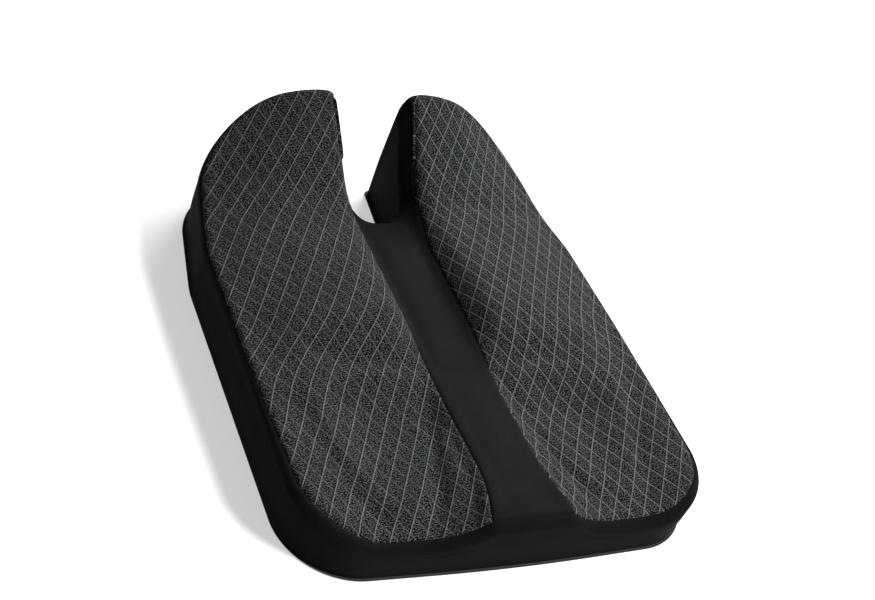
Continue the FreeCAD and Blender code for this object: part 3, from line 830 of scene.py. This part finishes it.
def closed_form(name, pieces):
    """One closed mesh round several pieces that meet at their edges."""
    points, faces = [], []
    first = 0
    for piece in pieces:
        points.append(vertex_array(piece))
        faces.extend(tuple(first + i for i in face.vertices) for face in piece.data.polygons)
        first += len(points[-1])
    made = mesh_object(name, np.vstack(points), faces)
    remesh = made.modifiers.new("remesh", "REMESH")
    remesh.mode = "VOXEL"
    remesh.voxel_size = FORM_VOXEL
    apply_modifiers(made)
    shape = bmesh.new()
    shape.from_mesh(made.data)
    keep_largest(shape)
    shape.to_mesh(made.data)
    shape.free()
    made.data.polygons.foreach_set("use_smooth", np.ones(len(made.data.polygons), bool))
    return made


def keep_largest(shape):
    """Deletes all but the largest connected part of a mesh."""
    left = set(shape.verts)
    parts = []
    while left:
        part, edge = set(), [left.pop()]
        while edge:
            vertex = edge.pop()
            part.add(vertex)
            for other in (link.other_vert(vertex) for link in vertex.link_edges):
                if other in left:
                    left.discard(other)
                    edge.append(other)
        parts.append(part)
    largest = max(parts, key=len)
    stray = [v for part in parts if part is not largest for v in part]
    bmesh.ops.delete(shape, geom=stray, context="VERTS")


def swell(form, seams):
    """Displacement of a form's points when it is filled out by its foam, held at its seams."""
    start = vertex_array(form)
    tree = tree_of(seams)
    near = np.array([tree.find(p)[2] for p in start])
    held = np.clip(1 - near / PIN_WIDTH, 0, 1)
    held = np.maximum(held, np.clip(1 - (start[:, 2] - PIN_FLOOR) / PIN_WIDTH, 0, 1))
    set_vertices(form, start - vertex_array(form, "normal") * (START_INSET * (1 - held))[:, None])
    group = form.vertex_groups.new(name="held")
    for level in range(1, PIN_LEVELS + 1):
        chosen = np.flatnonzero(np.round(held * PIN_LEVELS) == level)
        group.add([int(i) for i in chosen], level / PIN_LEVELS, "REPLACE")
    cloth = form.modifiers.new("cloth", "CLOTH")
    settings = cloth.settings
    settings.vertex_group_mass = "held"
    settings.use_pressure = True
    settings.uniform_pressure_force = PRESSURE
    settings.quality = CLOTH_QUALITY
    settings.tension_stiffness = settings.compression_stiffness = STRETCH_STIFFNESS
    settings.shear_stiffness = SHEAR_STIFFNESS
    settings.bending_stiffness = BEND_STIFFNESS
    settings.effector_weights.gravity = 0
    cloth.point_cache.frame_start = 1
    cloth.point_cache.frame_end = SWELL_FRAMES
    scene = bpy.context.scene
    for frame_number in range(1, SWELL_FRAMES + 1):
        scene.frame_set(frame_number)
    apply_modifiers(form)
    scene.frame_set(1)
    move = vertex_array(form) - start
    size = np.linalg.norm(move, axis=1)
    move *= np.minimum(1, SWELL_MOST / np.maximum(size, 1e-9))[:, None]
    return start, move


def follow(made, start, move, seams):
    """Carries the form's displacement over to a piece, fading out at its seams."""
    form_tree, seam_tree = tree_of(start), tree_of(seams)
    points = vertex_array(made)
    moved = points.copy()
    for i, point in enumerate(points):
        found = form_tree.find_n(point, NEIGHBOURS)
        weights = np.array([1 / (distance + 1 * MM) ** 2 for _, _, distance in found])
        shift = (move[[k for _, k, _ in found]] * weights[:, None]).sum(0) / weights.sum()
        fade = smooth(seam_tree.find(point)[2] / FADE_WIDTH)
        moved[i] = point + shift * fade
    set_vertices(made, moved)


def make_foam(name, pieces):
    """Foam core: the cover's shape, drawn in under the fabric."""
    made = closed_form(name, pieces)
    set_vertices(made, vertex_array(made) - vertex_array(made, "normal") * FOAM_INSET)
    return made


# ------------------------------------------------------------------ materials


class Shading:
    """Node tree of one material, with short calls for its nodes."""

    def __init__(self, name):
        self.material = bpy.data.materials.new(name)
        self.material.use_nodes = True
        self.tree = self.material.node_tree
        self.shader = self.tree.nodes["Principled BSDF"]

    def link(self, source, target):
        if isinstance(source, bpy.types.NodeSocket):
            self.tree.links.new(source, target)
        else:
            target.default_value = source

    def node(self, kind, inputs=None, **settings):
        made = self.tree.nodes.new(kind)
        for key, value in settings.items():
            setattr(made, key, value)
        for key, value in (inputs or {}).items():
            self.link(value, made.inputs[key])
        return made

    def math(self, operation, *values):
        made = self.node("ShaderNodeMath", operation=operation)
        for slot, value in enumerate(values):
            self.link(value, made.inputs[slot])
        return made.outputs[0]

    def mix(self, share, first, second, **settings):
        """Colour between two colours."""
        made = self.node("ShaderNodeMix", data_type="RGBA", **settings)
        self.link(share, made.inputs[0])
        self.link(first, made.inputs[6])
        self.link(second, made.inputs[7])
        return made.outputs[2]

    def range(self, value, low, high, to_low=0.0, to_high=1.0):
        inputs = {"Value": value, "From Min": low, "From Max": high,
                  "To Min": to_low, "To Max": to_high}
        return self.node("ShaderNodeMapRange", inputs).outputs[0]

    def noise(self, vector, scale, detail=2.0):
        inputs = {"Vector": vector, "Scale": scale, "Detail": detail, "Roughness": 0.5}
        return self.node("ShaderNodeTexNoise", inputs).outputs["Fac"]

    def weave(self):
        """Surface distances in metres, as a vector and its two parts."""
        uv = self.node("ShaderNodeUVMap", uv_map="weave").outputs[0]
        parts = self.node("ShaderNodeSeparateXYZ", {0: uv})
        return uv, parts.outputs[0], parts.outputs[1]

    def place(self):
        """Place on the object in metres."""
        return self.node("ShaderNodeTexCoord").outputs["Object"]

    def waves(self, value, pitch):
        """Sine wave of a given pitch."""
        return self.math("SINE", self.math("MULTIPLY", value, 2 * math.pi / pitch))

    def blend(self, first, share, second, other):
        """Weighted sum of two values."""
        return self.math("ADD", self.math("MULTIPLY", first, share),
                         self.math("MULTIPLY", second, other))

    def stretched(self, vector, scale):
        return self.node("ShaderNodeMapping", {"Vector": vector, "Scale": scale}).outputs[0]

    def bump(self, height, distance):
        made = self.node("ShaderNodeBump", {"Height": height, "Distance": distance})
        made.inputs["Strength"].default_value = 1.0
        self.link(made.outputs[0], self.shader.inputs["Normal"])

    def finish(self, **inputs):
        for key, value in inputs.items():
            title = key.replace("_", " ").title().replace("Ior", "IOR")
            self.link(value, self.shader.inputs[title])
        return self.material


def grey(level, warm=0.0):
    return (level * (1 + warm), level, level * (1 - warm), 1.0)


# jacquard: its diamonds, its lines in millimetres from their middle, and its flecks
DIAMOND_WIDTH = 15.5 * MM
DIAMOND_HEIGHT = 25.0 * MM
LINE_WOBBLE = 0.055
LINE_WIDTH = 0.7
LINE_CORE = 0.25
# painted shadow: a dark line this far beside each light line, in the colour below
LINE_SHADOW_AT = 1.1
LINE_SHADOW_COLOUR = grey(0.001)
LINE_LIGHT = grey(0.13, -0.01)
# the left panel's crossing lines are weaker as painted shade, for light that falls from the right
CROSS_RIGHT_LIT, CROSS_LEFT_SHADED = 0.9, 0.45  # strength of the lines that cross the main ones
FLECKS_PER_M = 1050.0
FLECK_LOW, FLECK_HIGH = 0.51, 0.56
GROUND_DARK = grey(0.0008, -0.02)
GROUND_LIGHT = grey(0.046, -0.01)
JACQUARD_RELIEF = 0.35 * MM

# smooth knit
BAND_SHADE = 0.0055
STRIP_SHADE = 0.0068
WALE_PITCH = 0.9 * MM
ROW_PITCH = 0.65 * MM
KNIT_RELIEF = 0.3 * MM

# other weaves
GRIP_PITCH = 1.4 * MM
HERRINGBONE_PITCH = 1.0 * MM
HERRINGBONE_HALF = 1.5 * MM  # height of a row of its slanted ribs


def jacquard_material(name, cross_strength_and_shade):
    """Charcoal melange with thin light lines in diamonds, each with a painted shadow beside it
    where the cloth also dips.
    """
    s = Shading(name)
    uv, u, v = s.weave()
    wobble = s.math("MULTIPLY", s.math("SUBTRACT", s.noise(uv, 260.0), 0.5), LINE_WOBBLE)
    p = s.math("DIVIDE", u, DIAMOND_WIDTH)
    q = s.math("DIVIDE", v, DIAMOND_HEIGHT)
    spacing = 1 / math.hypot(1 / DIAMOND_WIDTH, 1 / DIAMOND_HEIGHT) / MM
    light, shadow_lines = [], []
    # the crossing lines' strength also paints shade: weaker on a panel turned from the light
    for operation, strength in (("SUBTRACT", 1.0), ("ADD", cross_strength_and_shade)):
        phase = s.math("ADD", s.math(operation, q, p), wobble)
        offset = s.math("SUBTRACT", s.math("FRACT", s.math("ADD", phase, 100.5)), 0.5)
        away = s.math("MULTIPLY", offset, spacing)
        line = s.range(s.math("ABSOLUTE", away), LINE_WIDTH, LINE_CORE, 0.0, strength)
        beside = s.math("ABSOLUTE", s.math("SUBTRACT", away, LINE_SHADOW_AT))
        light.append(line)
        shadow_lines.append(s.range(beside, LINE_WIDTH, LINE_CORE, 0.0, strength))
    breaks = s.range(s.noise(uv, 800.0, 1.0), 0.4, 0.55, 0.35, 1.0)
    lines = s.math("MULTIPLY", s.math("MAXIMUM", *light), breaks)
    shade = s.math("MAXIMUM", *shadow_lines)
    flecks = s.noise(s.stretched(uv, (0.62, 1.0, 1.0)), FLECKS_PER_M, 1.0)
    fleck = s.range(flecks, FLECK_LOW, FLECK_HIGH)
    fine = s.noise(uv, 2600.0, 1.0)
    patches = s.range(s.noise(uv, 35.0, 2.0), 0.3, 0.7, 0.9, 1.12)
    ground = s.mix(fleck, GROUND_DARK, GROUND_LIGHT)
    # painted shadow beside each light line, darkening the ground
    ground = s.mix(s.math("MULTIPLY", shade, 0.6), ground, LINE_SHADOW_COLOUR)
    colour = s.mix(s.math("MULTIPLY", lines, 0.75), ground, LINE_LIGHT)
    tint = s.node("ShaderNodeCombineColor", {0: patches, 1: patches, 2: patches}).outputs[0]
    colour = s.mix(1.0, colour, tint, blend_type="MULTIPLY")
    relief = s.blend(fleck, 0.5, fine, 0.3)
    relief = s.math("ADD", relief, s.math("MULTIPLY", lines, 0.5))
    relief = s.math("SUBTRACT", relief, s.math("MULTIPLY", shade, 0.6))
    s.bump(relief, JACQUARD_RELIEF)
    return s.finish(
        base_color=colour, roughness=s.range(fleck, 0.0, 1.0, 0.85, 0.65),
        sheen_weight=0.004, sheen_roughness=0.5, specular_ior_level=0.02,
    )


def knit_material(name, level):
    """Smooth fine knit: ribs a little under a millimetre apart, crossed by finer rows."""
    s = Shading(name)
    uv, u, v = s.weave()
    knit = s.math("MULTIPLY", s.waves(u, WALE_PITCH), s.waves(v, ROW_PITCH))
    mottle = s.noise(uv, 900.0, 2.0)
    cloud = s.noise(uv, 30.0, 2.0)
    share = s.blend(s.range(mottle, 0.35, 0.7), 0.7, s.range(cloud, 0.3, 0.7), 0.3)
    colour = s.mix(share, grey(level * 0.7), grey(level * 1.35))
    s.bump(s.blend(knit, 0.5, mottle, 1.2), KNIT_RELIEF)
    return s.finish(
        base_color=colour, roughness=s.range(mottle, 0.3, 0.7, 0.72, 0.56),
        sheen_weight=0.003, sheen_roughness=0.3, specular_ior_level=0.012,
    )


def grip_material(name):
    """Plain weave of the bottom panel."""
    s = Shading(name)
    uv, u, v = s.weave()
    checks = s.math("MULTIPLY", s.waves(u, GRIP_PITCH), s.waves(v, GRIP_PITCH))
    fuzz = s.noise(uv, 800.0, 3.0)
    share = s.math("ADD", s.range(checks, -1, 1, 0.1, 0.6), s.math("MULTIPLY", fuzz, 0.4))
    s.bump(s.math("ADD", checks, fuzz), 0.25 * MM)
    return s.finish(
        base_color=s.mix(share, grey(0.012), grey(0.045)), roughness=0.85,
        sheen_weight=0.03, specular_ior_level=0.1,
    )


def silicone_material(name):
    """Black silicone with a dull gloss."""
    s = Shading(name)
    where = s.place()
    dust = s.noise(where, 400.0, 3.0)
    s.bump(dust, 0.05 * MM)
    return s.finish(
        base_color=s.mix(s.range(dust, 0.4, 0.7), grey(0.03), grey(0.055)),
        roughness=s.range(dust, 0.3, 0.7, 0.32, 0.5),
    )


def tape_material(name):
    """Herringbone-woven zip tape."""
    s = Shading(name)
    where = s.place()
    parts = s.node("ShaderNodeSeparateXYZ", {0: where})
    y, z = parts.outputs[1], parts.outputs[2]
    turns = 2 * math.pi / HERRINGBONE_PITCH
    slant = s.blend(y, turns, s.math("PINGPONG", z, HERRINGBONE_HALF), turns)
    rib = s.math("SINE", slant)
    fuzz = s.noise(where, 1500.0, 2.0)
    share = s.math("ADD", s.range(rib, -1, 1, 0.0, 0.7), s.math("MULTIPLY", fuzz, 0.3))
    s.bump(s.math("ADD", rib, fuzz), 0.12 * MM)
    return s.finish(base_color=s.mix(share, grey(0.004), grey(0.014)), roughness=0.8,
                    sheen_weight=0.01, specular_ior_level=0.06)


def plastic_material(name):
    """Moulded black nylon of the teeth."""
    s = Shading(name)
    where = s.place()
    grain = s.noise(where, 2500.0, 2.0)
    s.bump(grain, 0.03 * MM)
    return s.finish(base_color=s.mix(grain, grey(0.006), grey(0.014)),
                    roughness=s.range(grain, 0.3, 0.7, 0.28, 0.42), specular_ior_level=0.3)


def metal_material(name):
    """Black electroplated zinc with patches of wear."""
    s = Shading(name)
    where = s.place()
    scratches = s.noise(s.stretched(where, (1.0, 0.15, 1.0)), 2200.0, 3.0)
    wear = s.range(s.noise(where, 700.0, 4.0), 0.62, 0.72)
    s.bump(scratches, 0.02 * MM)
    return s.finish(
        base_color=s.mix(wear, grey(0.03), grey(0.07)), metallic=0.9,
        roughness=s.range(scratches, 0.3, 0.7, 0.24, 0.42),
    )


def foam_material(name):
    """Open-celled cream foam."""
    s = Shading(name)
    where = s.place()
    cells = s.node("ShaderNodeTexVoronoi", {"Vector": where, "Scale": 700.0}).outputs["Distance"]
    s.bump(cells, 0.4 * MM)
    return s.finish(base_color=s.mix(cells, (0.5, 0.45, 0.32, 1), (0.8, 0.75, 0.6, 1)),
                    roughness=0.9)


def thread_material(name):
    """Twisted black sewing thread."""
    s = Shading(name)
    where = s.place()
    twist = s.noise(where, 3000.0, 1.0)
    s.bump(twist, 0.05 * MM)
    return s.finish(base_color=s.mix(twist, grey(0.012), grey(0.035)), roughness=0.6,
                    sheen_weight=0.05, specular_ior_level=0.2)


def floor_material(name):
    """Pale matt studio floor."""
    s = Shading(name)
    where = s.place()
    soft = s.noise(where, 1.5, 2.0)
    return s.finish(base_color=s.mix(soft, grey(0.50), grey(0.54)), roughness=0.8,
                    specular_ior_level=0.0, emission_color=grey(1.0), emission_strength=0.5)


# ------------------------------------------------------------------ building


def dress(made, material):
    made.data.materials.clear()
    made.data.materials.append(material)


def add_piece(made, material, node=None):
    """Gives a piece its material, puts it in the cushion's body and hides the CAD node that it
    stands for.
    """
    dress(made, material)
    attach(made, "cushion")
    if node:
        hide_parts(node)


def build_cover():
    """All fabric pieces, filled out, sewn down at their seams and given their thickness."""
    sewn = {
        "right": make_panel("top_panel_right", 1),
        "left": make_panel("top_panel_left", -1),
        "strip": make_centre_strip("middle_strip"),
        "band": make_outer_band("side_band"),
        "cut_right": make_cutout_band("notch_band_right", 1),
        "cut_left": make_cutout_band("notch_band_left", -1),
    }
    base = make_base("base_panel")
    whole_band, _ = make_outer_band("whole_band", opening=False)
    around = [made for key, (made, _) in sewn.items() if key != "band"] + [whole_band, base]
    foam = make_foam("foam_form", around)
    seams = np.vstack([border for _, border in sewn.values()])
    form = closed_form("swell_form", around)
    start, move = swell(form, seams)
    for made, _ in sewn.values():
        follow(made, start, move, seams)
    bpy.data.objects.remove(form)
    bpy.data.objects.remove(whole_band)
    for made, border in sewn.values():
        sink_seams(made, border)
        thicken(made)
    thicken(base, BASE_FABRIC)
    knit = knit_material("black_knit", BAND_SHADE)
    strip_knit = knit_material("strip_knit", STRIP_SHADE)
    # the left jacquard is a shaded copy of the right one, its crossing lines fainter as painted
    # shade
    for key, material, slot, node in (
        ("right", jacquard_material("jacquard_lit_right", CROSS_RIGHT_LIT), "jacquard", "right_panel"),
        ("left", jacquard_material("jacquard_shaded_left", CROSS_LEFT_SHADED), "jacquard", "left_panel"),
        ("strip", strip_knit, "smooth_fabric", "centre_strip"),
        ("band", knit, "smooth_fabric", "outer_band"),
        ("cut_right", knit, "smooth_fabric", "cutout_band_right"),
        ("cut_left", knit, "smooth_fabric", "cutout_band_left"),
    ):
        add_piece(sewn[key][0], material, node)
    add_piece(base, grip_material("grip_cloth"), "bottom_panel")
    add_piece(foam, foam_material("cream_foam"), "foam_core")
    add_piece(make_dots("grip_dots"), silicone_material("grip_silicone"))
    stitches = make_stitches("zip_stitching", sewn["band"][0], slot_border(STITCH_MARGIN))
    add_piece(stitches, thread_material("black_thread"))


def dress_zip():
    """Finishes of the zip's own pieces."""
    tape = tape_material("zip_tape_weave")
    nylon = plastic_material("zip_nylon")
    metal = metal_material("zip_black_metal")
    for name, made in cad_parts.items():
        if "tape" in name:
            dress(made, tape)
        elif "teeth" in name or "stop" in name:
            dress(made, nylon)
        elif name in ("zip_slider", "zip_pull"):
            dress(made, metal)


def add_camera():
    data = bpy.data.cameras.new("camera")
    data.lens = CAMERA_LENS
    data.sensor_width = SENSOR_WIDTH
    data.clip_start = 0.02
    data.clip_end = 50
    made = bpy.data.objects.new("camera", data)
    made.location = CAMERA_PLACE
    made.rotation_euler = [math.radians(a) for a in CAMERA_TURN]
    bpy.context.scene.collection.objects.link(made)
    bpy.context.scene.camera = made


def add_light(name, place, size, power):
    """Round area light that points at the cushion."""
    data = bpy.data.lights.new(name, "AREA")
    data.shape = "DISK"
    data.size = size
    data.energy = power
    made = bpy.data.objects.new(name, data)
    made.location = place
    made.rotation_euler = (Vector(LIGHT_TARGET) - Vector(place)).to_track_quat("-Z", "Y").to_euler()
    bpy.context.scene.collection.objects.link(made)


def add_studio():
    """Pale floor, an even sky and two lights, from the rear right and the front right."""
    half = FLOOR_HALF
    corners = [(-half, -half, 0), (half, -half, 0), (half, half, 0), (-half, half, 0)]
    floor = mesh_object("floor", corners, [(0, 1, 2, 3)])
    dress(floor, floor_material("pale_floor"))
    world = bpy.data.worlds.new("studio")
    bpy.context.scene.world = world
    world.use_nodes = True
    sky = world.node_tree.nodes["Background"]
    sky.inputs[0].default_value = (1, 1, 1, 1)
    sky.inputs[1].default_value = SKY_STRENGTH
    add_light("key", (1.4, 1.3, 1.1), size=1.5, power=100)
    add_light("front_right", (1.2, -1.4, 1.9), size=0.6, power=125)
    bpy.context.scene.view_settings.view_transform = "Standard"


add_camera()
build_cover()
dress_zip()
add_studio()
bpy.context.view_layer.update()
